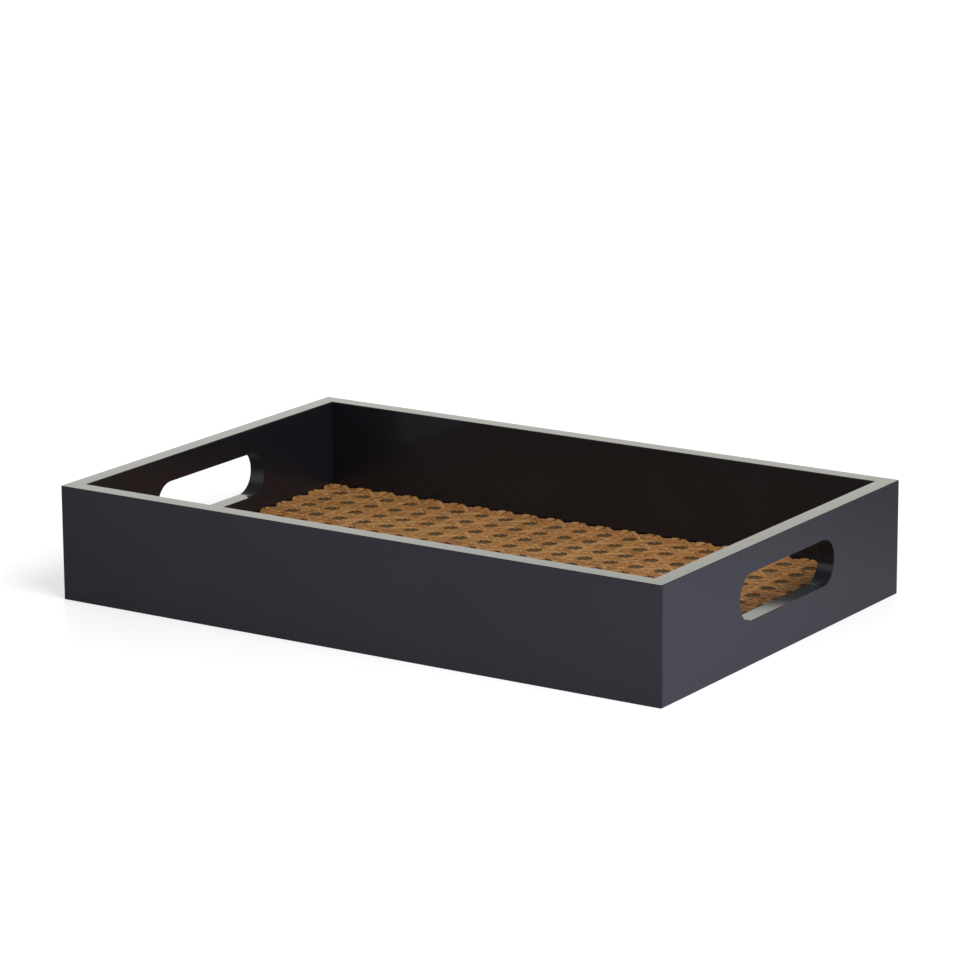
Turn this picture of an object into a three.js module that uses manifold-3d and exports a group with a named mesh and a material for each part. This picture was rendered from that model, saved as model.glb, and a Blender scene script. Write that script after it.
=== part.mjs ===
// Rattan tray: four lacquered boards mitred into a frame, a base board let into grooves in the boards,
// and a sheet of open cane webbing laid on the base.
// Millimetres, +Z up. The origin is under the middle of the tray, on the surface that it stands on.
// +X runs along the long boards and +Y towards the back.

import * as THREE from "three";
import { mergeVertices } from "three/addons/utils/BufferGeometryUtils.js";
import Module from "manifold-3d";

const wasm = await Module();
wasm.setup();

// The frame of boards
const TRAY_LENGTH = 380;
const TRAY_WIDTH = 252;
const TRAY_HEIGHT = 64;
const BOARD_THICKNESS = 10;
const GLUE_LINE = 0.2;

// The hand hole through each short board, a little to the right of the middle seen from outside
const HAND_HOLE_LENGTH = 100;
const HAND_HOLE_HEIGHT = 25.5;
const HAND_HOLE_CORNER_RADIUS = 12;
const HAND_HOLE_SILL = 23.9;
const HAND_HOLE_OFFSET = 2.6;
const CORNER_STEPS = 6;

// The base board and the groove that holds its edges
const BASE_UNDERSIDE = 8.4;
const BASE_THICKNESS = 4.5;
const GROOVE_DEPTH = 4;
const GROOVE_CLEARANCE = 0.3;

// The cane webbing: one gap for each repeat of the weave
const WEBBING_THICKNESS = 1;
const WEBBING_CLEARANCE = 0.3;
const WEAVE_PITCH_X = 16.54;
const WEAVE_PITCH_Y = 15.86;
const WEAVE_PHASE_X = -0.1;
const WEAVE_PHASE_Y = 6.9;
const GAP_ACROSS = 8.2;
const GAP_SIDES = 6;

// The brads that pin the mitred corners
const BRAD_LENGTH = 25;
const BRAD_DIAMETER = 1.6;
const BRAD_HEAD_DIAMETER = 2.4;
const BRAD_HEAD_THICKNESS = 0.8;
const BRAD_POINT = 1.5;
const BRAD_SET = 1.2;
const BRAD_CLEARANCE = 0.3;
const BRAD_EDGE_DISTANCE = 8;
const BRAD_SIDES = 8;

const lacquer = new THREE.MeshStandardMaterial({ color: 0x17161a, roughness: 0.3, metalness: 0 });
const darkBoard = new THREE.MeshStandardMaterial({ color: 0x2b2624, roughness: 0.6, metalness: 0 });
const cane = new THREE.MeshStandardMaterial({ color: 0xa8733f, roughness: 0.5, metalness: 0 });
const steel = new THREE.MeshStandardMaterial({ color: 0xa7a9ac, roughness: 0.4, metalness: 1 });

// Heights that the pieces share
const grooveFloor = BASE_UNDERSIDE - GROOVE_CLEARANCE;
const grooveHeight = BASE_THICKNESS + 2 * GROOVE_CLEARANCE;
const webbingUnderside = BASE_UNDERSIDE + BASE_THICKNESS + GLUE_LINE;
const lowBrad = grooveFloor + grooveHeight + BRAD_EDGE_DISTANCE;
const highBrad = TRAY_HEIGHT - BRAD_EDGE_DISTANCE;
const middleBrad = (lowBrad + highBrad) / 2;

function solidFrom(geometry) {
  const bare = geometry.clone();
  bare.deleteAttribute("normal");
  bare.deleteAttribute("uv");
  const merged = mergeVertices(bare);
  const vertProperties = new Float32Array(merged.attributes.position.array);
  const triVerts = new Uint32Array(merged.index.array);
  return new wasm.Manifold(new wasm.Mesh({ numProp: 3, vertProperties, triVerts }));
}

function geometryFrom(solid) {
  const mesh = solid.getMesh();
  const geometry = new THREE.BufferGeometry();
  geometry.setAttribute("position", new THREE.BufferAttribute(mesh.vertProperties, 3));
  geometry.setIndex(new THREE.BufferAttribute(mesh.triVerts, 1));
  geometry.computeVertexNormals();
  return geometry;
}

function namedMesh(name, geometry, material) {
  const mesh = new THREE.Mesh(geometry, material);
  mesh.name = name;
  return mesh;
}

function prism(shape, depth) {
  return new THREE.ExtrudeGeometry(shape, { depth, curveSegments: CORNER_STEPS, bevelEnabled: false });
}

// A brad along +Y with its head at y = 0, grown on every side by the clearance
function bradGeometry(clearance) {
  const shank = BRAD_DIAMETER / 2 + clearance;
  const head = BRAD_HEAD_DIAMETER / 2 + clearance;
  const profile = [
    new THREE.Vector2(0, -clearance),
    new THREE.Vector2(head, -clearance),
    new THREE.Vector2(head, BRAD_HEAD_THICKNESS + clearance),
    new THREE.Vector2(shank, BRAD_HEAD_THICKNESS + clearance),
    new THREE.Vector2(shank, BRAD_LENGTH - BRAD_POINT + clearance),
    new THREE.Vector2(0, BRAD_LENGTH + clearance),
  ];
  return new THREE.LatheGeometry(profile, BRAD_SIDES);
}

// A board seen from above: the outer edge lies on y = 0 and both ends are mitred, half a glue line short
function mitredBoard(length) {
  const backOff = (GLUE_LINE / 2) * Math.SQRT2;
  const outerEnd = length / 2 - backOff;
  const innerEnd = outerEnd - BOARD_THICKNESS;
  const plan = new THREE.Shape();
  plan.moveTo(-outerEnd, 0);
  plan.lineTo(outerEnd, 0);
  plan.lineTo(innerEnd, BOARD_THICKNESS);
  plan.lineTo(-innerEnd, BOARD_THICKNESS);
  plan.closePath();
  return solidFrom(prism(plan, TRAY_HEIGHT));
}

// The cutter is centred on the board's inner face, so half of it cuts
function grooveCutter(length) {
  const cutter = new THREE.BoxGeometry(length, 2 * GROOVE_DEPTH, grooveHeight);
  cutter.translate(0, BOARD_THICKNESS, grooveFloor + grooveHeight / 2);
  return solidFrom(cutter);
}

// A rounded rectangle that runs through the board and half its thickness past each face
function handHoleCutter() {
  const halfLength = HAND_HOLE_LENGTH / 2;
  const radius = Math.min(HAND_HOLE_CORNER_RADIUS, HAND_HOLE_HEIGHT / 2, halfLength);
  const low = HAND_HOLE_SILL + radius;
  const high = HAND_HOLE_SILL + HAND_HOLE_HEIGHT - radius;
  const reach = halfLength - radius;
  const outline = new THREE.Shape();
  outline.absarc(reach, low, radius, -Math.PI / 2, 0);
  outline.absarc(reach, high, radius, 0, Math.PI / 2);
  outline.absarc(-reach, high, radius, Math.PI / 2, Math.PI);
  outline.absarc(-reach, low, radius, Math.PI, 1.5 * Math.PI);
  outline.closePath();
  const cutter = prism(outline, 2 * BOARD_THICKNESS);
  cutter.rotateX(Math.PI / 2);
  cutter.translate(HAND_HOLE_OFFSET, 1.5 * BOARD_THICKNESS, 0);
  return solidFrom(cutter);
}

// Blind holes for the brads driven through this board's face, near its ends
function faceBradCutters(length, heights) {
  const cutters = [];
  for (const end of [-1, 1]) {
    for (const height of heights) {
      const cutter = bradGeometry(BRAD_CLEARANCE);
      cutter.translate(end * (length / 2 - BOARD_THICKNESS / 2), BRAD_SET, height);
      cutters.push(solidFrom(cutter));
    }
  }
  return cutters;
}

// Blind holes for the brads that come in through this board's ends from the boards beside it
function endBradCutters(length, heights) {
  const cutters = [];
  for (const end of [-1, 1]) {
    for (const height of heights) {
      const cutter = bradGeometry(BRAD_CLEARANCE);
      cutter.rotateZ((end * Math.PI) / 2);
      cutter.translate(end * (length / 2 - BRAD_SET), BOARD_THICKNESS / 2, height);
      cutters.push(solidFrom(cutter));
    }
  }
  return cutters;
}

// One side of the tray in its own frame: the board along X with its outer face on y = 0, and its brads
function traySide({ name, length, faceBrads, endBrads, hasHandHole }) {
  const side = new THREE.Group();
  let board = mitredBoard(length).subtract(grooveCutter(length));
  if (hasHandHole) {
    board = board.subtract(handHoleCutter());
  }
  for (const cutter of [...faceBradCutters(length, faceBrads), ...endBradCutters(length, endBrads)]) {
    board = board.subtract(cutter);
  }
  side.add(namedMesh(name, geometryFrom(board), lacquer));
  let count = 0;
  for (const end of [-1, 1]) {
    for (const height of faceBrads) {
      count += 1;
      const brad = namedMesh(`${name}_brad_${count}`, bradGeometry(0), steel);
      brad.position.set(end * (length / 2 - BOARD_THICKNESS / 2), BRAD_SET, height);
      side.add(brad);
    }
  }
  return side;
}

function longSide(name) {
  const faceBrads = [lowBrad, highBrad];
  return traySide({ name, length: TRAY_LENGTH, faceBrads, endBrads: [middleBrad], hasHandHole: false });
}

function shortSide(name) {
  const endBrads = [lowBrad, highBrad];
  return traySide({ name, length: TRAY_WIDTH, faceBrads: [middleBrad], endBrads, hasHandHole: true });
}

function baseBoard() {
  const tongue = GROOVE_DEPTH - GROOVE_CLEARANCE;
  const length = TRAY_LENGTH - 2 * BOARD_THICKNESS + 2 * tongue;
  const width = TRAY_WIDTH - 2 * BOARD_THICKNESS + 2 * tongue;
  const board = namedMesh("base_board", new THREE.BoxGeometry(length, width, BASE_THICKNESS), darkBoard);
  board.position.z = BASE_UNDERSIDE + BASE_THICKNESS / 2;
  return board;
}

// Every place first + k * pitch that has a whole repeat of the weave inside a sheet of that length
function gapPlaces(length, first, pitch) {
  const reach = (length - pitch) / 2;
  const places = [];
  for (let k = Math.ceil((-reach - first) / pitch); first + k * pitch <= reach; k += 1) {
    places.push(first + k * pitch);
  }
  return places;
}

function caneWebbing() {
  const length = TRAY_LENGTH - 2 * BOARD_THICKNESS - 2 * WEBBING_CLEARANCE;
  const width = TRAY_WIDTH - 2 * BOARD_THICKNESS - 2 * WEBBING_CLEARANCE;
  const sheet = new THREE.Shape();
  sheet.moveTo(-length / 2, -width / 2);
  sheet.lineTo(length / 2, -width / 2);
  sheet.lineTo(length / 2, width / 2);
  sheet.lineTo(-length / 2, width / 2);
  sheet.closePath();
  const gapRadius = GAP_ACROSS / 2 / Math.cos(Math.PI / GAP_SIDES);
  for (const x of gapPlaces(length, WEAVE_PHASE_X, WEAVE_PITCH_X)) {
    for (const y of gapPlaces(width, WEAVE_PHASE_Y, WEAVE_PITCH_Y)) {
      const gap = new THREE.Path();
      for (let corner = 0; corner < GAP_SIDES; corner += 1) {
        const angle = (2 * Math.PI * corner) / GAP_SIDES;
        const u = x + gapRadius * Math.cos(angle);
        const v = y + gapRadius * Math.sin(angle);
        if (corner === 0) {
          gap.moveTo(u, v);
        } else {
          gap.lineTo(u, v);
        }
      }
      gap.closePath();
      sheet.holes.push(gap);
    }
  }
  const webbing = namedMesh("cane_webbing", prism(sheet, WEBBING_THICKNESS), cane);
  webbing.position.z = webbingUnderside;
  return webbing;
}

const tray = new THREE.Group();

const frontSide = longSide("front_wall");
frontSide.position.y = -TRAY_WIDTH / 2;
tray.add(frontSide);

const backSide = longSide("back_wall");
backSide.position.y = TRAY_WIDTH / 2;
backSide.rotation.z = Math.PI;
tray.add(backSide);

const rightSide = shortSide("right_end_wall");
rightSide.position.x = TRAY_LENGTH / 2;
rightSide.rotation.z = Math.PI / 2;
tray.add(rightSide);

const leftSide = shortSide("left_end_wall");
leftSide.position.x = -TRAY_LENGTH / 2;
leftSide.rotation.z = -Math.PI / 2;
tray.add(leftSide);

tray.add(baseBoard());
tray.add(caneWebbing());

export default tray;
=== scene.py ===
"""Rattan tray: black lacquered boards with hand holes, round a floor of woven cane."""

import math
import random

import bmesh
import bpy
from mathutils import Matrix, Vector, noise


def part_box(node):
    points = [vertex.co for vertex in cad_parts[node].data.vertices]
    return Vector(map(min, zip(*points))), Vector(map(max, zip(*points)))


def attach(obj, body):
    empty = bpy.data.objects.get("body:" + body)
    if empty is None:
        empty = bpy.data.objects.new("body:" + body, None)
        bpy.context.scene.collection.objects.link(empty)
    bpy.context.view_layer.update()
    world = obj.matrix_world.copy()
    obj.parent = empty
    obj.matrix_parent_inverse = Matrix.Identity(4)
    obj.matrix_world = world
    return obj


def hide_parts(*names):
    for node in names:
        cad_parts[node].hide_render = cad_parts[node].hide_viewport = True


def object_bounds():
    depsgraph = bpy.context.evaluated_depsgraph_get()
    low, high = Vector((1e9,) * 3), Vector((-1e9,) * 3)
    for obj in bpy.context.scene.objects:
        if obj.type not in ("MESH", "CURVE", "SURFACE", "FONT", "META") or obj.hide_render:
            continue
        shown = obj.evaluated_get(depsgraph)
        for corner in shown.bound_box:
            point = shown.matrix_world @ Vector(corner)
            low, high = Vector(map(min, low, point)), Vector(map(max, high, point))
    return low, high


bl_info = {
    "name": "Rattan Tray",
    "version": (1, 0, 0),
    "blender": (4, 5, 0),
    "location": "View3D > Sidebar > Rattan Tray",
    "description": "Dresses a lacquered tray with a floor of woven cane",
    "category": "Object",
}

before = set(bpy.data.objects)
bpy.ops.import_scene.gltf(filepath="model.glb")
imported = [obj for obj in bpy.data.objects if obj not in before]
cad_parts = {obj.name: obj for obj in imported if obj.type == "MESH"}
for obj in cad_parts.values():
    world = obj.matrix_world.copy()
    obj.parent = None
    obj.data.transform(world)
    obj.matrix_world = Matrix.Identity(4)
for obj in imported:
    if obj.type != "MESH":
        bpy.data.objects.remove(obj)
CAD_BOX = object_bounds()
LONG_LOW, LONG_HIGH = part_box("front_wall")
END_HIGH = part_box("right_end_wall")[1]
CANE_LOW, CANE_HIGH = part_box("cane_webbing")
BASE_LOW, BASE_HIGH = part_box("base_board")

BODY = "root"
STRAND_LAYER = "strand"
NEAR = 1e-6

# Boards: the groove's play, the steps of each rounding, and what counts as sharp or as facing inwards
GROOVE_PLAY = 0.0003
CORNER_STEPS = 8
ARRIS_STEPS = 3
HOLE_CORNER_STEPS = 10
ROUND_PROFILE = 0.5
SHARP_ANGLE = math.radians(40)
INWARD_NORMAL = 0.99

# Strands: the section in half widths and half thicknesses, and how one strand differs from the next
STRAND_SECTION = (
    (-1.0, 0.25), (-0.86, 0.68), (-0.45, 0.97), (0.45, 0.97),
    (0.86, 0.68), (1.0, 0.25), (0.96, -0.9), (-0.96, -0.9),
)
STRAND_WIDTHS = (0.95, 1.04)
FIBRE_SHIFTS = (0.0, 9.0)
WANDER_SCALE = 35.0
CROSSING_STEEPNESS = 1.3
SPARE_STRANDS = 2
WEAVE_SEED = 7

# Finishes: ranges as pairs, and scales along each axis of a stretched noise
UNIT = (0.0, 1.0)
NOISE = (0.3, 0.7)
WHITE = (1.0, 1.0, 1.0, 1.0)
LEVEL_NORMAL = (0.80, 0.97)
LACQUER_SATIN = (0.29, 0.34)
LACQUER_GLOSS = 0.12
LACQUER_COAT = (0.21, 1.0)
LACQUER_PEEL = (0.05, 0.01)
FIBRE_SCALE = (30.0, 7.0, 60.0)
PATCH_SCALE = (60.0, 0.5, 37.0)
STRAND_TONE = 0.34
FIBRE_SHARE = 0.55
EDGE_POWER = 4.0
EDGE_SHADE = 0.30
CANE_SATIN = (0.38, 0.52)
FIGURE_SCALE = (9.0, 160.0, 160.0)
PORE_SCALE = (60.0, 1500.0, 1500.0)
BASE_SATIN = (0.42, 0.60)
SCRATCH_SCALE = (400.0, 400.0, 4000.0)
STEEL_SATIN = (0.28, 0.45)

# Colour sockets of a Mix node, which share their names with its other sockets
MIX_FACTOR = 0
MIX_FIRST = 6
MIX_SECOND = 7
MIX_RESULT = 2

# Stage: where along its paler way the floor's painted light and painted shade change, how near the
# tray counts, and the ceiling's edge
FLOOR_REACH = 6.0
FLOOR_CELLS = 8
PAINTED_LIGHT_RUN = (-0.30, 0.30)
PAINTED_SHADE_PLACE = 0.30
MIDDLE_PLACE = 0.615
PAINTED_SIDE_RUN = (-0.06, 0.13)
BESIDE_TRAY = (0.20, 0.50)
CEILING_EDGE = (0.33, 0.66)
SENSOR = 36.0


class TrayBoards(bpy.types.PropertyGroup):
    """Sizes and finish of the four boards."""

    length: bpy.props.FloatProperty(
        name="Length",
        description="Outside length of the tray",
        default=2 * END_HIGH.x,
        unit="LENGTH",
    )
    width: bpy.props.FloatProperty(
        name="Width",
        description="Outside width of the tray",
        default=-2 * LONG_LOW.y,
        unit="LENGTH",
    )
    height: bpy.props.FloatProperty(
        name="Height",
        description="Height of the boards",
        default=LONG_HIGH.z,
        unit="LENGTH",
    )
    thickness: bpy.props.FloatProperty(
        name="Thickness",
        description="Thickness of the boards",
        default=LONG_HIGH.y - LONG_LOW.y,
        unit="LENGTH",
    )
    corner_round: bpy.props.FloatProperty(
        name="Corner round",
        description="Radius of the upright outer corners",
        default=0.0012,
        unit="LENGTH",
    )
    arris: bpy.props.FloatProperty(
        name="Arris",
        description="Radius of the eased edges",
        default=0.0004,
        unit="LENGTH",
    )
    groove_low: bpy.props.FloatProperty(
        name="Groove floor",
        description="Height of the lower side of the base board's groove",
        default=BASE_LOW.z - GROOVE_PLAY,
        unit="LENGTH",
    )
    groove_high: bpy.props.FloatProperty(
        name="Groove roof",
        description="Height of the upper side of the base board's groove",
        default=BASE_HIGH.z + GROOVE_PLAY,
        unit="LENGTH",
    )
    groove_depth: bpy.props.FloatProperty(
        name="Groove depth",
        description="Depth of the base board's groove",
        default=0.004,
        unit="LENGTH",
    )
    lacquer: bpy.props.FloatVectorProperty(
        name="Lacquer",
        description="Colour of the lacquer",
        default=(0.0073, 0.0066, 0.0102),
        subtype="COLOR",
        size=3,
    )
    lacquer_pale: bpy.props.FloatVectorProperty(
        name="Lacquer, pale",
        description="Colour of the lacquer where it lies thin",
        default=(0.0093, 0.0084, 0.0127),
        subtype="COLOR",
        size=3,
    )


class TrayHandHoles(bpy.types.PropertyGroup):
    """Sizes of the hand hole through each end board."""

    length: bpy.props.FloatProperty(
        name="Length",
        description="Length of a hand hole",
        default=0.100,
        unit="LENGTH",
    )
    height: bpy.props.FloatProperty(
        name="Height",
        description="Height of a hand hole",
        default=0.0255,
        unit="LENGTH",
    )
    sill: bpy.props.FloatProperty(
        name="Sill",
        description="Height of a hand hole's lower edge",
        default=0.0239,
        unit="LENGTH",
    )
    offset: bpy.props.FloatProperty(
        name="Offset",
        description="How far right of its board's middle a hand hole lies, seen from outside",
        default=0.0026,
        unit="LENGTH",
    )
    corner: bpy.props.FloatProperty(
        name="Corner",
        description="Radius of a hand hole's corners",
        default=0.012,
        unit="LENGTH",
    )
    margin: bpy.props.FloatProperty(
        name="Margin",
        description="Width of the flat ring kept round a hand hole",
        default=0.003,
        unit="LENGTH",
    )


class TrayCane(bpy.types.PropertyGroup):
    """Sizes and finish of the woven cane."""

    pitch_x: bpy.props.FloatProperty(
        name="Lengthwise pitch",
        description="Distance from one gap to the next along the tray",
        default=0.01654,
        unit="LENGTH",
    )
    pitch_y: bpy.props.FloatProperty(
        name="Crosswise pitch",
        description="Distance from one gap to the next across the tray",
        default=0.01586,
        unit="LENGTH",
    )
    phase_x: bpy.props.FloatProperty(
        name="Lengthwise start",
        description="Place of the middle gap along the tray",
        default=-0.0001,
        unit="LENGTH",
    )
    phase_y: bpy.props.FloatProperty(
        name="Crosswise start",
        description="Place of the middle gap across the tray",
        default=0.0069,
        unit="LENGTH",
    )
    gap: bpy.props.FloatProperty(
        name="Gap",
        description="Width of a gap between neighbouring pairs of strands",
        default=0.0081,
        unit="LENGTH",
    )
    strand_width: bpy.props.FloatProperty(
        name="Strand width",
        description="Width of a strand",
        default=0.0033,
        unit="LENGTH",
    )
    wander: bpy.props.FloatProperty(
        name="Wander",
        description="How far a strand strays to either side",
        default=0.00022,
        unit="LENGTH",
    )
    end_curl: bpy.props.FloatProperty(
        name="Curl at the ends",
        description="How far the webbing springs up against the end boards",
        default=0.0011,
        unit="LENGTH",
    )
    side_curl: bpy.props.FloatProperty(
        name="Curl at the sides",
        description="How far the webbing springs up against the long boards",
        default=0.0005,
        unit="LENGTH",
    )
    curl_reach: bpy.props.FloatProperty(
        name="Curl reach",
        description="Distance from a board at which the webbing starts to spring up",
        default=0.007,
        unit="LENGTH",
    )
    step: bpy.props.FloatProperty(
        name="Step",
        description="Distance between the rings of a strand's mesh",
        default=0.0011,
        unit="LENGTH",
    )
    dark: bpy.props.FloatVectorProperty(
        name="Dark cane",
        description="Colour of the fibres' shade",
        default=(0.146, 0.060, 0.020),
        subtype="COLOR",
        size=3,
    )
    middle: bpy.props.FloatVectorProperty(
        name="Cane",
        description="Colour of most of the cane",
        default=(0.297, 0.140, 0.046),
        subtype="COLOR",
        size=3,
    )
    light: bpy.props.FloatVectorProperty(
        name="Light cane",
        description="Colour of the palest fibres",
        default=(0.426, 0.238, 0.097),
        subtype="COLOR",
        size=3,
    )


class TrayHiddenParts(bpy.types.PropertyGroup):
    """Finish of the base board and the brads."""

    base: bpy.props.FloatVectorProperty(
        name="Base board",
        description="Colour of the base board's dark grain",
        default=(0.066, 0.043, 0.021),
        subtype="COLOR",
        size=3,
    )
    base_pale: bpy.props.FloatVectorProperty(
        name="Base board, pale",
        description="Colour of the base board between its grain",
        default=(0.096, 0.063, 0.031),
        subtype="COLOR",
        size=3,
    )
    steel: bpy.props.FloatVectorProperty(
        name="Steel",
        description="Colour of the scratches along a brad",
        default=(0.42, 0.41, 0.40),
        subtype="COLOR",
        size=3,
    )
    steel_pale: bpy.props.FloatVectorProperty(
        name="Steel, pale",
        description="Colour of a brad between its scratches",
        default=(0.58, 0.57, 0.55),
        subtype="COLOR",
        size=3,
    )


class TrayStage(bpy.types.PropertyGroup):
    """Camera, floor and light."""

    azimuth: bpy.props.FloatProperty(
        name="Azimuth",
        description="Turn of the camera round the tray",
        default=math.radians(33.138),
        subtype="ANGLE",
    )
    elevation: bpy.props.FloatProperty(
        name="Elevation",
        description="Height of the camera over the horizon",
        default=math.radians(14.318),
        subtype="ANGLE",
    )
    roll: bpy.props.FloatProperty(
        name="Roll",
        description="Tilt of the camera about its own line of sight",
        default=math.radians(-0.298),
        subtype="ANGLE",
    )
    distance: bpy.props.FloatProperty(
        name="Distance",
        description="Distance of the camera from its target",
        default=2.3192,
        unit="LENGTH",
    )
    target: bpy.props.FloatVectorProperty(
        name="Target",
        description="Point that the camera looks at",
        default=(-0.00343, 0.01487, 0.05623),
        subtype="TRANSLATION",
        size=3,
    )
    lens: bpy.props.FloatProperty(
        name="Lens",
        description="Focal length of the camera in millimetres",
        default=155.754,
    )
    # Painted light: in reflections and bounced light the floor's colour is a painted gradient of
    # light; this is its palest, bluish end, towards the front right
    floor: bpy.props.FloatVectorProperty(
        name="Floor",
        description="Colour of the floor where it is palest",
        default=(0.755, 0.755, 0.960),
        subtype="COLOR",
        size=3,
    )
    # Painted light: the middle of the floor's painted gradient of light
    painted_light_floor_middle: bpy.props.FloatVectorProperty(
        name="Middle floor",
        description="Colour of the floor between its palest and its darkest parts",
        default=(0.530, 0.530, 0.665),
        subtype="COLOR",
        size=3,
    )
    # Painted shade: the darkest part of the floor's painted gradient of light, along a line behind the
    # tray
    painted_shade_floor_far: bpy.props.FloatVectorProperty(
        name="Far floor",
        description="Colour of the floor where it is darkest",
        default=(0.160, 0.160, 0.188),
        subtype="COLOR",
        size=3,
    )
    floor_seen: bpy.props.FloatVectorProperty(
        name="Floor in view",
        description="Colour of the floor straight from the camera, under the added white",
        default=(0.350, 0.350, 0.368),
        subtype="COLOR",
        size=3,
    )
    # The way in which the floor's painted light grows paler, towards the front right
    paler: bpy.props.FloatVectorProperty(
        name="Paler way",
        description="Direction in which the floor grows paler",
        default=(0.580, -0.815, 0.0),
        subtype="DIRECTION",
        size=3,
    )
    room: bpy.props.FloatVectorProperty(
        name="Room",
        description="Colour of the light from all round",
        default=(1.0, 1.0, 0.93),
        subtype="COLOR",
        size=3,
    )
    # Painted light and shade: the camera sees more added white in the floor beside the tray's lit
    # sides than beside its unlit sides
    floor_white: bpy.props.FloatProperty(
        name="Floor white",
        description="How much white the camera sees in the floor beside the tray's lit sides",
        default=0.640,
    )
    painted_shade_floor_white: bpy.props.FloatProperty(
        name="Dark floor white",
        description="How much white the camera sees in the floor beside the tray's other sides",
        default=0.535,
    )
    floor_white_far: bpy.props.FloatProperty(
        name="Far floor white",
        description="How much white the camera sees in the floor far from the tray",
        default=0.80,
    )
    sky: bpy.props.FloatProperty(
        name="Room light",
        description="Strength of the light from all round",
        default=0.52,
    )
    ceiling: bpy.props.FloatProperty(
        name="Ceiling",
        description="Brightness of the room's ceiling in reflections",
        default=0.12,
    )
    ceiling_way: bpy.props.FloatVectorProperty(
        name="Ceiling way",
        description="Direction of the room's ceiling, leaning to the back, where the white ends lower",
        default=(0.0, 0.15, 1.0),
        size=3,
    )
    lamp: bpy.props.FloatProperty(
        name="Key lamp",
        description="Power of the soft lamp beside the tray",
        default=43.5,
        unit="POWER",
    )
    lamp_place: bpy.props.FloatVectorProperty(
        name="Key lamp place",
        description="Where the soft lamp stands",
        default=(1.20, -0.45, 1.72),
        subtype="TRANSLATION",
        size=3,
    )
    lamp_size: bpy.props.FloatProperty(
        name="Key lamp size",
        description="Side of the soft lamp's square",
        default=1.0,
        unit="LENGTH",
    )


def feed(tree, node, sockets):
    """Fills a node's sockets with values or other nodes' outputs."""
    for socket, value in sockets.items():
        if isinstance(value, bpy.types.NodeSocket):
            tree.links.new(value, node.inputs[socket])
        else:
            node.inputs[socket].default_value = value


def add_node(tree, kind, sockets=None, **options):
    """Adds a node, sets its options and fills its sockets."""
    made = tree.nodes.new(kind)
    for option, value in options.items():
        setattr(made, option, value)
    feed(tree, made, sockets or {})
    return made


def calculate(tree, operation, *values):
    """The result of a Math node."""
    return add_node(tree, "ShaderNodeMath", dict(enumerate(values)), operation=operation).outputs[0]


def measure(tree, operation, *vectors):
    """The number that a Vector Math node gives."""
    made = add_node(tree, "ShaderNodeVectorMath", dict(enumerate(vectors)), operation=operation)
    return made.outputs["Value"]


def spread(tree, value, source, result, curve="LINEAR"):
    """A value mapped from one range to another and held inside it."""
    sockets = {
        "Value": value,
        "From Min": source[0],
        "From Max": source[1],
        "To Min": result[0],
        "To Max": result[1],
    }
    return add_node(tree, "ShaderNodeMapRange", sockets, interpolation_type=curve).outputs["Result"]


def opaque(colour):
    """A colour with an alpha of one."""
    return (colour[0], colour[1], colour[2], 1.0)


def ramp(tree, factor, stops):
    """A colour ramp over a factor, from pairs of place and colour."""
    made = add_node(tree, "ShaderNodeValToRGB", {"Fac": factor})
    elements = made.color_ramp.elements
    while len(elements) < len(stops):
        elements.new(0.5)
    for element, (place, colour) in zip(elements, stops):
        element.position = place
        element.color = opaque(colour)
    return made.outputs["Color"]


def mixed(tree, factor, first, second):
    """Two colours mixed by a factor."""
    sockets = {MIX_FACTOR: factor, MIX_FIRST: first, MIX_SECOND: second}
    return add_node(tree, "ShaderNodeMix", sockets, data_type="RGBA").outputs[MIX_RESULT]


def grain(tree, vector, scale=1.0, detail=3.0, roughness=0.5):
    """Noise over a vector."""
    sockets = {"Vector": vector, "Scale": scale, "Detail": detail, "Roughness": roughness}
    return add_node(tree, "ShaderNodeTexNoise", sockets).outputs["Fac"]


def stretched(tree, vector, scale):
    """A vector scaled by axis."""
    return add_node(tree, "ShaderNodeMapping", {"Vector": vector, "Scale": scale}).outputs["Vector"]


def raised(tree, height, strength, distance=0.0002):
    """A normal bumped by a height."""
    sockets = {"Height": height, "Strength": strength, "Distance": distance}
    return add_node(tree, "ShaderNodeBump", sockets).outputs["Normal"]


def new_finish(name):
    """A new material with its tree and its Principled shader."""
    finish = bpy.data.materials.new(name)
    finish.use_nodes = True
    return finish, finish.node_tree, finish.node_tree.nodes["Principled BSDF"]


def lacquer_finish(boards):
    """Black satin lacquer with a faint orange peel, thicker and smoother where it lies level."""
    if "satin_lacquer" in bpy.data.materials:
        return bpy.data.materials["satin_lacquer"]
    finish, tree, shader = new_finish("satin_lacquer")
    surface = add_node(tree, "ShaderNodeTexCoord").outputs
    cloud = grain(tree, surface["Object"], scale=22.0, detail=4.0)
    peel = grain(tree, surface["Object"], scale=300.0, detail=1.0)
    facing_up = add_node(tree, "ShaderNodeSeparateXYZ", {"Vector": surface["Normal"]}).outputs["Z"]
    level = spread(tree, facing_up, LEVEL_NORMAL, UNIT)
    upright_satin = spread(tree, cloud, NOISE, LACQUER_SATIN)
    feed(tree, shader, {
        "Base Color": ramp(tree, cloud, ((0.35, boards.lacquer), (0.70, boards.lacquer_pale))),
        "Roughness": spread(tree, level, UNIT, (upright_satin, LACQUER_GLOSS)),
        "IOR": 1.33,
        "Coat Weight": spread(tree, level, UNIT, LACQUER_COAT),
        "Coat Roughness": 0.11,
        "Coat IOR": 1.5,
        "Sheen Weight": 0.10,
        "Sheen Roughness": 0.3,
        "Sheen Tint": (1.0, 1.0, 0.9, 1.0),
        "Normal": raised(tree, peel, strength=spread(tree, level, UNIT, LACQUER_PEEL)),
    })
    return finish


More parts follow.
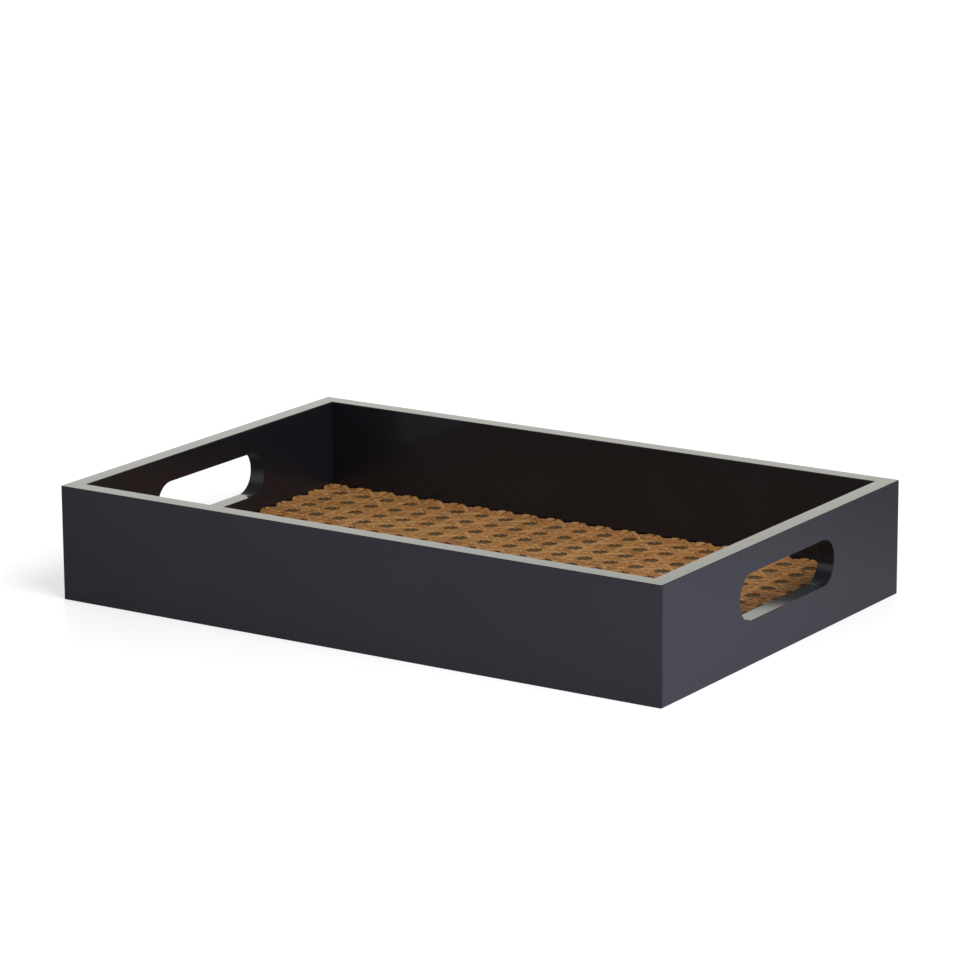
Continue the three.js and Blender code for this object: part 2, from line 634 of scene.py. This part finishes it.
def cane_finish(cane):
    """Split cane: long fibres, a tone of its own for each strand, darker edges and a slight gloss."""
    if "woven_cane" in bpy.data.materials:
        return bpy.data.materials["woven_cane"]
    finish, tree, shader = new_finish("woven_cane")
    run = add_node(tree, "ShaderNodeAttribute", attribute_name=STRAND_LAYER).outputs["Vector"]
    parts = add_node(tree, "ShaderNodeSeparateXYZ", {"Vector": run}).outputs
    fibres = grain(tree, stretched(tree, run, FIBRE_SCALE), detail=5.0, roughness=0.6)
    patches = grain(tree, stretched(tree, run, PATCH_SCALE))
    centred = calculate(tree, "ADD", patches, -STRAND_TONE / 2)
    tone = calculate(tree, "MULTIPLY_ADD", parts["Z"], STRAND_TONE, centred)
    toned = calculate(tree, "MULTIPLY", tone, FIBRE_SHARE)
    shade = calculate(tree, "MULTIPLY_ADD", fibres, FIBRE_SHARE, toned)
    colour = ramp(tree, shade, ((0.30, cane.dark), (0.55, cane.middle), (0.80, cane.light)))
    side = calculate(tree, "ABSOLUTE", parts["Y"])
    edge = calculate(tree, "MULTIPLY", calculate(tree, "POWER", side, EDGE_POWER), EDGE_SHADE)
    feed(tree, shader, {
        "Base Color": mixed(tree, edge, colour, opaque(cane.dark)),
        "Roughness": spread(tree, fibres, NOISE, CANE_SATIN),
        "Normal": raised(tree, fibres, strength=0.25),
    })
    return finish


def base_finish(hidden):
    """Dark stained board with a faint grain along the tray."""
    finish, tree, shader = new_finish("stained_board")
    place = add_node(tree, "ShaderNodeTexCoord").outputs["Object"]
    figure = grain(tree, stretched(tree, place, FIGURE_SCALE), detail=4.0, roughness=0.6)
    pores = grain(tree, stretched(tree, place, PORE_SCALE), detail=2.0)
    feed(tree, shader, {
        "Base Color": ramp(tree, figure, ((0.3, hidden.base), (0.7, hidden.base_pale))),
        "Roughness": spread(tree, pores, NOISE, BASE_SATIN),
        "Normal": raised(tree, pores, strength=0.15),
    })
    return finish


def steel_finish(hidden):
    """Drawn steel wire with fine lengthwise scratches."""
    finish, tree, shader = new_finish("drawn_steel")
    place = add_node(tree, "ShaderNodeTexCoord").outputs["Object"]
    scratches = grain(tree, stretched(tree, place, SCRATCH_SCALE))
    feed(tree, shader, {
        "Base Color": ramp(tree, scratches, ((0.3, hidden.steel), (0.7, hidden.steel_pale))),
        "Metallic": 1.0,
        "Roughness": spread(tree, scratches, NOISE, STEEL_SATIN),
        "Normal": raised(tree, scratches, strength=0.1, distance=0.0001),
    })
    return finish


def new_piece(name, bm, finish):
    """Makes an object from a bmesh, in the shared frame, with one finish."""
    mesh = bpy.data.meshes.new(name)
    bm.to_mesh(mesh)
    bm.free()
    mesh.polygons.foreach_set("use_smooth", [True] * len(mesh.polygons))
    mesh.materials.append(finish)
    piece = bpy.data.objects.new(name, mesh)
    bpy.context.scene.collection.objects.link(piece)
    return piece


def every(bm):
    """All vertices, edges and faces of a bmesh."""
    return bm.verts[:] + bm.edges[:] + bm.faces[:]


def close(bm):
    """Fills each open ring of edges with a face."""
    rims = [edge for edge in bm.edges if edge.is_boundary]
    if rims:
        bmesh.ops.holes_fill(bm, edges=rims, sides=0)


def trim(bm, point, outward):
    """Cuts away what lies past a plane, and closes the cut."""
    bmesh.ops.bisect_plane(
        bm, geom=every(bm), dist=NEAR, plane_co=point, plane_no=outward, clear_outer=True,
    )
    close(bm)


def split(bm, point, across):
    """Cuts the faces that a plane meets in two."""
    bmesh.ops.bisect_plane(bm, geom=every(bm), dist=NEAR, plane_co=point, plane_no=across)


def extrude(bm, faces, reach, keep=False):
    """Extrudes faces, and keeps the faces that it starts from if asked to."""
    made = bmesh.ops.extrude_face_region(bm, geom=faces, use_keep_orig=keep)["geom"]
    moved = [item for item in made if isinstance(item, bmesh.types.BMVert)]
    bmesh.ops.translate(bm, verts=moved, vec=reach)
    if not keep:
        bmesh.ops.delete(bm, geom=faces, context="FACES")


def upright_rectangle(bm, length, low, high, middle=0.0):
    """A rectangle in the plane of a board's outer face."""
    left = middle - length / 2
    right = middle + length / 2
    corners = ((left, 0, low), (right, 0, low), (right, 0, high), (left, 0, high))
    return bm.faces.new([bm.verts.new(corner) for corner in corners])


def bevel(bm, items, radius, segments, affect):
    """Rounds edges or vertices."""
    bmesh.ops.bevel(
        bm, geom=items, offset=radius, offset_type="OFFSET", segments=segments,
        profile=ROUND_PROFILE, affect=affect, material=-1,
    )


def rounded_ring(bm, hole, margin):
    """The edges of a hand hole's outline, grown by a margin, without its face."""
    known = set(bm.edges)
    low = hole.sill - margin
    high = hole.sill + hole.height + margin
    face = upright_rectangle(bm, hole.length + 2 * margin, low, high, hole.offset)
    bevel(bm, face.verts[:], hole.corner + margin, HOLE_CORNER_STEPS, "VERTICES")
    ring = [edge for edge in bm.edges if edge not in known]
    faces = list({face for edge in ring for face in edge.link_faces})
    bmesh.ops.delete(bm, geom=faces, context="FACES_ONLY")
    return ring


def board_face(bm, length, boards, hole):
    """The outer face of a board, with its hand hole if it has one."""
    upright_rectangle(bm, length, 0.0, boards.height)
    if hole is None:
        return
    reach = length / 2 - boards.thickness - hole.margin
    for place in (-reach, reach):
        split(bm, (place, 0, 0), (1, 0, 0))
    for level in (hole.margin, boards.height - hole.margin):
        split(bm, (0, 0, level), (0, 0, 1))
    middle = max(bm.faces, key=lambda face: face.calc_area())
    border = middle.edges[:]
    bmesh.ops.delete(bm, geom=[middle], context="FACES_ONLY")
    inner = rounded_ring(bm, hole, 0.0)
    outer = rounded_ring(bm, hole, hole.margin)
    bmesh.ops.bridge_loops(bm, edges=inner + outer)
    bmesh.ops.triangle_fill(bm, use_beauty=True, edges=border + outer)


def sharp_edges(bm):
    """The edges where two faces meet at a sharp angle, which takes in the mitres."""
    return [
        edge for edge in bm.edges
        if len(edge.link_faces) == 2 and edge.calc_face_angle() > SHARP_ANGLE
    ]


def board_mesh(length, boards, hole=None):
    """A mitred board along X, its outer face at y = 0 and its inner face at y = thickness."""
    bm = bmesh.new()
    board_face(bm, length, boards, hole)
    extrude(bm, bm.faces[:], (0.0, boards.thickness, 0.0), keep=True)
    bmesh.ops.recalc_face_normals(bm, faces=bm.faces)

    def upright_end(edge):
        first, second = (vert.co for vert in edge.verts)
        return (first - second).xy.length < NEAR and abs(abs(first.x) - length / 2) < NEAR

    outer = [edge for edge in bm.edges if upright_end(edge) and abs(edge.verts[0].co.y) < NEAR]
    bevel(bm, outer, boards.corner_round, CORNER_STEPS, "EDGES")
    arrises = [edge for edge in sharp_edges(bm) if not upright_end(edge)]
    bevel(bm, arrises, boards.arris, ARRIS_STEPS, "EDGES")

    for level in (boards.groove_low, boards.groove_high):
        split(bm, (0, 0, level), (0, 0, 1))

    def in_groove(face):
        return boards.groove_low < face.calc_center_median().z < boards.groove_high

    strip = [face for face in bm.faces if face.normal.y > INWARD_NORMAL and in_groove(face)]
    extrude(bm, strip, (0.0, -boards.groove_depth, 0.0))

    for end in (-1, 1):
        trim(bm, (end * length / 2, 0, 0), (end, 1, 0))
    bmesh.ops.remove_doubles(bm, verts=bm.verts, dist=NEAR)
    bmesh.ops.dissolve_degenerate(bm, dist=NEAR, edges=bm.edges)
    bmesh.ops.recalc_face_normals(bm, faces=bm.faces)
    for edge in sharp_edges(bm):
        edge.smooth = False
    return bm


def place_board(name, node, bm, turn, place, finish):
    """Turns a board to its side of the tray and makes it a piece."""
    bmesh.ops.rotate(bm, verts=bm.verts, cent=(0, 0, 0), matrix=Matrix.Rotation(turn, 3, "Z"))
    bmesh.ops.translate(bm, verts=bm.verts, vec=place)
    piece = new_piece(name, bm, finish)
    piece.modifiers.new("flat_faces", "WEIGHTED_NORMAL").keep_sharp = True
    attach(piece, BODY)
    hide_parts(node)


def strand_lift(crossings, phase):
    """How far over (1) or under (-1) a strand runs at a phase of its pattern."""
    phase %= 1.0
    last_place, last_side = crossings[-1]
    last_place -= 1.0
    first_place, first_side = crossings[0]
    for place, side in crossings + [(first_place + 1.0, first_side)]:
        if phase <= place:
            share = (phase - last_place) / (place - last_place)
            share = min(max((share - 0.5) * CROSSING_STEEPNESS + 0.5, 0.0), 1.0)
            eased = share * share * (3.0 - 2.0 * share)
            return last_side + (side - last_side) * eased
        last_place, last_side = place, side
    return first_side


def strand_mesh(length, cane, half_sheet, crossings, start_phase, period, draw):
    """One strand along X from the origin, waving over and under the strands it crosses."""
    bm = bmesh.new()
    layer = bm.verts.layers.float_vector.new(STRAND_LAYER)
    half = cane.strand_width / 2 * draw.uniform(*STRAND_WIDTHS)
    ring = [bm.verts.new((0.0, across * half, rise * half_sheet)) for across, rise in STRAND_SECTION]
    extrude(bm, [bm.faces.new(ring)], (length, 0.0, 0.0), keep=True)
    long_edges = [
        edge for edge in bm.edges if abs(edge.verts[0].co.x - edge.verts[1].co.x) > length / 2
    ]
    bmesh.ops.subdivide_edges(bm, edges=long_edges, cuts=max(int(length / cane.step), 1))
    bmesh.ops.recalc_face_normals(bm, faces=bm.faces)
    tone = draw.random()
    shift = draw.uniform(*FIBRE_SHIFTS)
    for vert in bm.verts:
        along = vert.co.x
        vert[layer] = (along + shift, vert.co.y / half, tone)
        vert.co.y += noise.noise((along * WANDER_SCALE, shift, 0.0)) * cane.wander
        lift = strand_lift(crossings, start_phase + along / period)
        vert.co.z += (lift - 1.0) / 2 * half_sheet
    return bm


def lay_strand(sheet, bm, cane, start, angle):
    """Turns a strand to its direction, puts it in its place and adds it to a sheet of strands."""
    bmesh.ops.rotate(bm, verts=bm.verts, cent=(0, 0, 0), matrix=Matrix.Rotation(angle, 3, "Z"))
    bmesh.ops.translate(bm, verts=bm.verts, vec=start)
    for side in (-1, 1):
        trim(bm, (side * CANE_HIGH.x, 0, 0), (side, 0, 0))
        trim(bm, (0, side * CANE_HIGH.y, 0), (0, side, 0))
    for vert in bm.verts:
        near_end = max(1.0 - (CANE_HIGH.x - abs(vert.co.x)) / cane.curl_reach, 0.0)
        near_side = max(1.0 - (CANE_HIGH.y - abs(vert.co.y)) / cane.curl_reach, 0.0)
        vert.co.z += max(cane.end_curl * near_end ** 2, cane.side_curl * near_side ** 2)
        vert.co.z = max(vert.co.z, BASE_HIGH.z + NEAR)
    single = bpy.data.meshes.new("strand")
    bm.to_mesh(single)
    bm.free()
    sheet.from_mesh(single)
    bpy.data.meshes.remove(single)


class WeavePlan:
    """Where the strands run, measured from the nodes where the pairs of strands cross."""

    def __init__(self, cane):
        self.cane = cane
        self.half_sheet = (CANE_HIGH.z - CANE_LOW.z) / 2
        self.level = CANE_LOW.z + self.half_sheet
        self.node_x = cane.phase_x - cane.pitch_x / 2
        self.node_y = cane.phase_y - cane.pitch_y / 2
        self.pair_x = (cane.pitch_x - cane.gap - cane.strand_width) / 2
        self.pair_y = (cane.pitch_y - cane.gap - cane.strand_width) / 2
        self.share_x = self.pair_x / cane.pitch_x
        self.share_y = self.pair_y / cane.pitch_y


def four_crossings(near, far, signs):
    """The four crossings in one repeat of a strand, with the side it passes on."""
    places = (near, 0.5 - far, 0.5 + far, 1.0 - near)
    return list(zip(places, signs))


def places_within(first, pitch, limit):
    """Every place of a pattern that lies inside a limit to either side."""
    lowest = math.ceil((-limit - first) / pitch)
    highest = math.floor((limit - first) / pitch)
    return [first + pitch * index for index in range(lowest, highest + 1)]


def crosswise_strands(sheet, plan, draw):
    """Pairs of strands across the tray."""
    cane = plan.cane
    start = -CANE_HIGH.y - cane.step
    phase = (start - plan.node_y) / cane.pitch_y
    for node in places_within(plan.node_x, cane.pitch_x, CANE_HIGH.x):
        for side in (-1, 1):
            signs = [-side * sign for sign in (1, -1, 1, -1)]
            crossings = four_crossings(plan.share_y, plan.share_x, signs)
            bm = strand_mesh(-2 * start, cane, plan.half_sheet, crossings, phase, cane.pitch_y, draw)
            lay_strand(sheet, bm, cane, (node + side * plan.pair_x, start, plan.level), math.pi / 2)


def lengthwise_strands(sheet, plan, draw):
    """Pairs of strands along the tray."""
    cane = plan.cane
    start = -CANE_HIGH.x - cane.step
    phase = (start - plan.node_x) / cane.pitch_x
    for node in places_within(plan.node_y, cane.pitch_y, CANE_HIGH.y):
        for side in (-1, 1):
            signs = [-side * sign for sign in (-1, 1, -1, 1)]
            crossings = four_crossings(plan.share_x, plan.share_y, signs)
            bm = strand_mesh(-2 * start, cane, plan.half_sheet, crossings, phase, cane.pitch_x, draw)
            lay_strand(sheet, bm, cane, (start, node + side * plan.pair_y, plan.level), 0.0)


def slanting_strands(sheet, plan, draw, rise):
    """Single strands along one diagonal, rising (1) or falling (-1) to the right."""
    cane = plan.cane
    period = math.hypot(cane.pitch_x, cane.pitch_y)
    signs = [rise * sign for sign in (1, -1, -1, 1)]
    crossings = four_crossings(plan.share_x, plan.share_y, signs)
    reach_x = CANE_HIGH.x + cane.strand_width
    reach_y = CANE_HIGH.y + cane.strand_width
    count = math.ceil((reach_x / cane.pitch_x) + (reach_y / cane.pitch_y)) + SPARE_STRANDS
    for index in range(-count, count):
        offset = index + 0.5
        ends = []
        for edge in (-reach_y, reach_y):
            across = (edge - plan.node_y) / cane.pitch_y
            ends.append(rise * (across - offset))
        low = max(min(ends), (-reach_x - plan.node_x) / cane.pitch_x)
        high = min(max(ends), (reach_x - plan.node_x) / cane.pitch_x)
        length = (high - low) * period
        if length < 2 * cane.strand_width:
            continue
        bm = strand_mesh(length, cane, plan.half_sheet, crossings, low, period, draw)
        start = (
            plan.node_x + low * cane.pitch_x,
            plan.node_y + (rise * low + offset) * cane.pitch_y,
            plan.level,
        )
        lay_strand(sheet, bm, cane, start, math.atan2(rise * cane.pitch_y, cane.pitch_x))


def finish_strands(name, sheet, cane):
    """Makes a sheet of strands a piece."""
    piece = new_piece(name, sheet, cane_finish(cane))
    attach(piece, BODY)
    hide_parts("cane_webbing")


def refinish(node, finish):
    """Gives a packed solid one finish."""
    node.data.materials.clear()
    node.data.materials.append(finish)


class TRAY_OT_long_boards(bpy.types.Operator):
    """Make the two long boards"""

    bl_idname = "rattan_tray.long_boards"
    bl_label = "Long boards"

    def execute(self, context):
        boards = context.scene.tray_boards
        finish = lacquer_finish(boards)
        reach = boards.width / 2
        for name, node, turn, side in (
            ("front_board", "front_wall", 0.0, -1),
            ("back_board", "back_wall", math.pi, 1),
        ):
            bm = board_mesh(boards.length, boards)
            place_board(name, node, bm, turn, (0.0, side * reach, 0.0), finish)
        return {"FINISHED"}


class TRAY_OT_end_boards(bpy.types.Operator):
    """Make the two end boards with their hand holes"""

    bl_idname = "rattan_tray.end_boards"
    bl_label = "End boards"

    def execute(self, context):
        boards = context.scene.tray_boards
        hole = context.scene.tray_hand_holes
        finish = lacquer_finish(boards)
        reach = boards.length / 2
        for name, node, turn, side in (
            ("left_end_board", "left_end_wall", -math.pi / 2, -1),
            ("right_end_board", "right_end_wall", math.pi / 2, 1),
        ):
            bm = board_mesh(boards.width, boards, hole)
            place_board(name, node, bm, turn, (side * reach, 0.0, 0.0), finish)
        return {"FINISHED"}


class TRAY_OT_cane(bpy.types.Operator):
    """Weave the cane floor from pairs of strands both ways and single diagonals"""

    bl_idname = "rattan_tray.cane"
    bl_label = "Woven cane"

    def execute(self, context):
        cane = context.scene.tray_cane
        plan = WeavePlan(cane)
        draw = random.Random(WEAVE_SEED)
        weaves = (
            ("cane_crosswise", crosswise_strands, ()),
            ("cane_lengthwise", lengthwise_strands, ()),
            ("cane_rising", slanting_strands, (1,)),
            ("cane_falling", slanting_strands, (-1,)),
        )
        for name, weave, extra in weaves:
            sheet = bmesh.new()
            weave(sheet, plan, draw, *extra)
            finish_strands(name, sheet, cane)
        return {"FINISHED"}


class TRAY_OT_hidden_parts(bpy.types.Operator):
    """Give the base board and the corner brads their finishes"""

    bl_idname = "rattan_tray.hidden_parts"
    bl_label = "Base board and brads"

    def execute(self, context):
        hidden = context.scene.tray_hidden_parts
        steel = steel_finish(hidden)
        for name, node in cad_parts.items():
            if "_brad_" in name:
                refinish(node, steel)
        refinish(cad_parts["base_board"], base_finish(hidden))
        return {"FINISHED"}


def floor_finish(stage):
    """White floor that shows the camera a clean white and still takes the tray's shadow; to
    reflections and bounced light its colour is a painted, bluish gradient of light, and the camera
    sees painted shade beside the tray's unlit sides.
    """
    finish, tree, shader = new_finish("white_floor")
    place = add_node(tree, "ShaderNodeTexCoord").outputs["Object"]
    run = measure(tree, "DOT_PRODUCT", place, stage.paler)
    # Painted light: the colour that reflections and bounced light see is a ramp along the paler way,
    # darkest along a line behind the tray and palest towards its front right
    shade = ramp(tree, spread(tree, run, PAINTED_LIGHT_RUN, UNIT), (
        (0.0, stage.painted_light_floor_middle),
        (PAINTED_SHADE_PLACE, stage.painted_shade_floor_far),
        (MIDDLE_PLACE, stage.painted_light_floor_middle),
        (1.0, stage.floor),
    ))
    away = measure(tree, "LENGTH", place)
    # Painted shade: the camera sees less added white beside the tray's unlit sides than beside its lit
    # sides
    painted_side_white = spread(tree, run, PAINTED_SIDE_RUN, (stage.painted_shade_floor_white, stage.floor_white))
    white = spread(tree, away, BESIDE_TRAY, (painted_side_white, stage.floor_white_far))
    seen = add_node(tree, "ShaderNodeLightPath").outputs["Is Camera Ray"]
    feed(tree, shader, {
        "Base Color": mixed(tree, seen, shade, opaque(stage.floor_seen)),
        "Roughness": 0.25,
        "IOR": 1.12,
    })
    glow = add_node(tree, "ShaderNodeEmission", {
        "Color": WHITE,
        "Strength": calculate(tree, "MULTIPLY", seen, white),
    })
    blend = add_node(tree, "ShaderNodeAddShader", {0: shader.outputs[0], 1: glow.outputs[0]})
    tree.links.new(blend.outputs[0], tree.nodes["Material Output"].inputs["Surface"])
    return finish


def room_light(stage):
    """A white room: even light on the tray, and white where the camera or a reflection sees it."""
    world = bpy.data.worlds.new("white_room")
    world.use_nodes = True
    tree = world.node_tree
    tree.nodes.clear()
    path = add_node(tree, "ShaderNodeLightPath").outputs
    seen = calculate(tree, "MAXIMUM", path["Is Camera Ray"], path["Is Glossy Ray"])
    seen = calculate(tree, "MAXIMUM", seen, path["Is Transmission Ray"])
    facing = add_node(tree, "ShaderNodeTexCoord").outputs["Generated"]
    rise = measure(tree, "DOT_PRODUCT", facing, stage.ceiling_way)
    low = spread(tree, rise, CEILING_EDGE, (1.0, stage.ceiling), "SMOOTHSTEP")
    white = calculate(tree, "MAXIMUM", low, path["Is Camera Ray"])
    room = add_node(tree, "ShaderNodeBackground", {
        "Color": mixed(tree, path["Is Camera Ray"], opaque(stage.room), WHITE),
        "Strength": spread(tree, seen, UNIT, (stage.sky, white)),
    })
    add_node(tree, "ShaderNodeOutputWorld", {"Surface": room.outputs[0]})
    return world


def lay_floor(stage):
    """A wide floor under the tray."""
    bm = bmesh.new()
    bmesh.ops.create_grid(bm, x_segments=FLOOR_CELLS, y_segments=FLOOR_CELLS, size=FLOOR_REACH)
    bmesh.ops.translate(bm, verts=bm.verts, vec=(0.0, 0.0, CAD_BOX[0].z))
    new_piece("floor", bm, floor_finish(stage))


def hang_lamp(scene, stage):
    """A soft lamp that faces the tray and shows neither to the camera nor in the lacquer."""
    lamp = bpy.data.lights.new("key_lamp", "AREA")
    lamp.size = stage.lamp_size
    lamp.energy = stage.lamp
    hung = bpy.data.objects.new("key_lamp", lamp)
    hung.location = stage.lamp_place
    hung.rotation_euler = (-hung.location).to_track_quat("-Z", "Y").to_euler()
    hung.visible_camera = False
    hung.visible_glossy = False
    scene.collection.objects.link(hung)


def aim_camera(scene, stage):
    """The camera, from its turn, height and distance to its target."""
    back = Vector((
        math.sin(stage.azimuth) * math.cos(stage.elevation),
        -math.cos(stage.azimuth) * math.cos(stage.elevation),
        math.sin(stage.elevation),
    ))
    lens = bpy.data.cameras.new("camera")
    lens.sensor_width = SENSOR
    lens.lens = stage.lens
    camera = bpy.data.objects.new("camera", lens)
    camera.location = Vector(stage.target) + back * stage.distance
    turned = (-back).to_track_quat("-Z", "Y").to_matrix() @ Matrix.Rotation(stage.roll, 3, "Z")
    camera.rotation_euler = turned.to_euler()
    scene.collection.objects.link(camera)
    scene.camera = camera


class TRAY_OT_stage(bpy.types.Operator):
    """Set up the floor, the light and the camera"""

    bl_idname = "rattan_tray.stage"
    bl_label = "Stage"

    def execute(self, context):
        scene = context.scene
        stage = scene.tray_stage
        scene.view_settings.view_transform = "Standard"
        scene.world = room_light(stage)
        lay_floor(stage)
        hang_lamp(scene, stage)
        aim_camera(scene, stage)
        return {"FINISHED"}


SETTINGS = {
    "tray_boards": TrayBoards,
    "tray_hand_holes": TrayHandHoles,
    "tray_cane": TrayCane,
    "tray_hidden_parts": TrayHiddenParts,
    "tray_stage": TrayStage,
}
OPERATORS = (
    TRAY_OT_stage,
    TRAY_OT_long_boards,
    TRAY_OT_end_boards,
    TRAY_OT_cane,
    TRAY_OT_hidden_parts,
)


class TRAY_PT_sidebar(bpy.types.Panel):
    """Settings and steps of the tray"""

    bl_idname = "TRAY_PT_sidebar"
    bl_label = "Rattan Tray"
    bl_space_type = "VIEW_3D"
    bl_region_type = "UI"
    bl_category = "Rattan Tray"

    def draw(self, context):
        for key, kind in SETTINGS.items():
            box = self.layout.box()
            box.label(text=kind.__doc__)
            for name in kind.__annotations__:
                box.prop(getattr(context.scene, key), name)
        for operator in OPERATORS:
            self.layout.operator(operator.bl_idname)


def register():
    """Registers the settings, the operators and the panel."""
    for kind in SETTINGS.values():
        bpy.utils.register_class(kind)
    for key, kind in SETTINGS.items():
        setattr(bpy.types.Scene, key, bpy.props.PointerProperty(type=kind))
    for kind in OPERATORS + (TRAY_PT_sidebar,):
        bpy.utils.register_class(kind)


def unregister():
    """Removes what register added."""
    for kind in (TRAY_PT_sidebar,) + OPERATORS[::-1]:
        bpy.utils.unregister_class(kind)
    for key, kind in SETTINGS.items():
        delattr(bpy.types.Scene, key)
        bpy.utils.unregister_class(kind)


def main():
    """Builds the tray and its stage."""
    register()
    bpy.ops.rattan_tray.stage()
    bpy.ops.rattan_tray.long_boards()
    bpy.ops.rattan_tray.end_boards()
    bpy.ops.rattan_tray.cane()
    bpy.ops.rattan_tray.hidden_parts()


if __name__ == "__main__":
    main()
